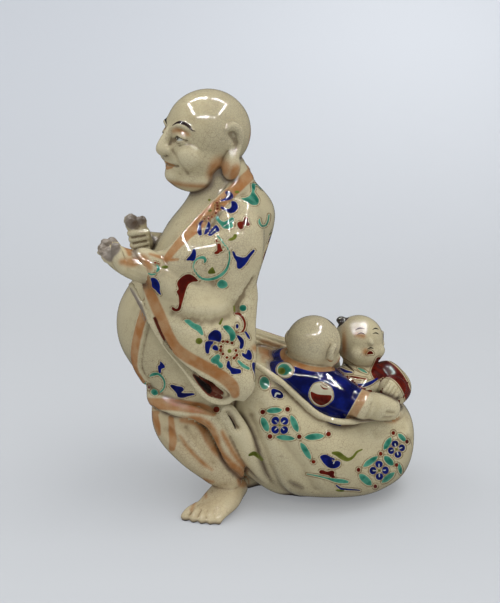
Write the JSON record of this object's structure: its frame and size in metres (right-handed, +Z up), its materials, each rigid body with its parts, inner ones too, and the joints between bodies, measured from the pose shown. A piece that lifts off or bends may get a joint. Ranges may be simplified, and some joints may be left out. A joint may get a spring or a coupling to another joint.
{
  "type": "hotei figure",
  "caption": "Glazed earthenware figure of a stout standing monk leaning on a large sack that holds small children, painted in enamels.",
  "frame": {"origin": "on the table, under the middle of the group's bounding box", "axes": "+Z up; +X along the group from the monk towards the sack; -Y towards the side that is shown"},
  "size_m": [0.1818, 0.1068, 0.24],
  "materials": {
    "cream_glaze": "glossy cream crackle glaze with painted enamel flowers, roundels and borders in cobalt, turquoise, iron red, green and coral"
  },
  "bodies": {
    "root": {"hotei_figure": "cream_glaze"}
  },
  "joints": []
}
